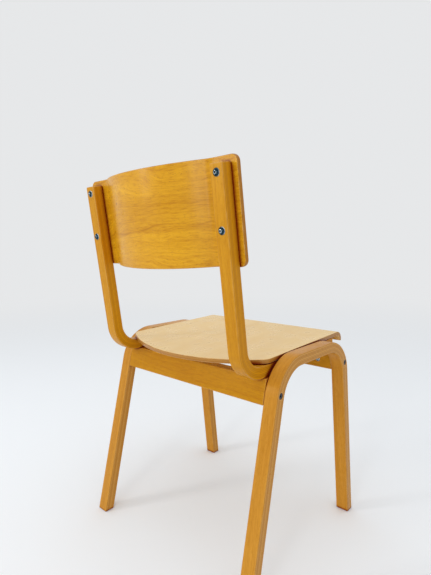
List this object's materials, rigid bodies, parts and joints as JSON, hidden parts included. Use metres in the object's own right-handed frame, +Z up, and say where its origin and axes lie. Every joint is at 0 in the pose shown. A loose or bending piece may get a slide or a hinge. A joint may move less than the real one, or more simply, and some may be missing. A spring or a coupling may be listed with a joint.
{
  "type": "stacking chair",
  "caption": "Wooden stacking chair with bent laminated side frames, cross rails, bent back uprights, a moulded plywood seat and a curved plywood back panel.",
  "frame": {"origin": "on the floor, in the middle of the chair's width and of its whole depth", "axes": "+X towards the sitter's left, +Y towards the back of the chair, +Z up"},
  "size_m": [0.475, 0.469, 0.8013],
  "materials": {
    "frame_beech": "clear satin lacquer on laminated beech",
    "rail_beech": "clear satin lacquer on solid beech",
    "upright_beech": "clear satin lacquer on laminated beech",
    "seat_plywood": "clear satin lacquer on pale beech veneer",
    "panel_plywood": "clear satin lacquer on beech veneer",
    "dowel_beech": "plain beech",
    "dark_steel": "blackened steel",
    "zinc_steel": "blue zinc plated steel"
  },
  "bodies": {
    "root": {"side_frame_right": "frame_beech", "side_frame_left": "frame_beech", "rear_rail": "rail_beech", "front_rail": "rail_beech", "back_upright_right": "upright_beech", "back_upright_left": "upright_beech", "seat_shell": "seat_plywood", "back_panel": "panel_plywood", "rear_frame_bolt_right": "dark_steel", "rear_frame_bolt_left": "dark_steel", "front_frame_bolt_right": "dark_steel", "front_frame_bolt_left": "dark_steel", "rear_barrel_nut_right": "zinc_steel", "rear_barrel_nut_left": "zinc_steel", "front_barrel_nut_right": "zinc_steel", "front_barrel_nut_left": "zinc_steel", "rear_dowels_right": "dowel_beech", "rear_dowels_left": "dowel_beech", "front_dowels_right": "dowel_beech", "front_dowels_left": "dowel_beech", "upper_back_bolt_right": "zinc_steel", "upper_back_bolt_left": "zinc_steel", "lower_back_bolt_right": "zinc_steel", "lower_back_bolt_left": "zinc_steel", "upper_sleeve_nut_right": "zinc_steel", "upper_sleeve_nut_left": "zinc_steel", "lower_sleeve_nut_right": "zinc_steel", "lower_sleeve_nut_left": "zinc_steel", "rear_foot_screw_right": "zinc_steel", "rear_foot_screw_left": "zinc_steel", "front_foot_screw_right": "zinc_steel", "front_foot_screw_left": "zinc_steel", "seat_screws_right": "zinc_steel", "seat_screws_left": "zinc_steel"}
  },
  "joints": []
}
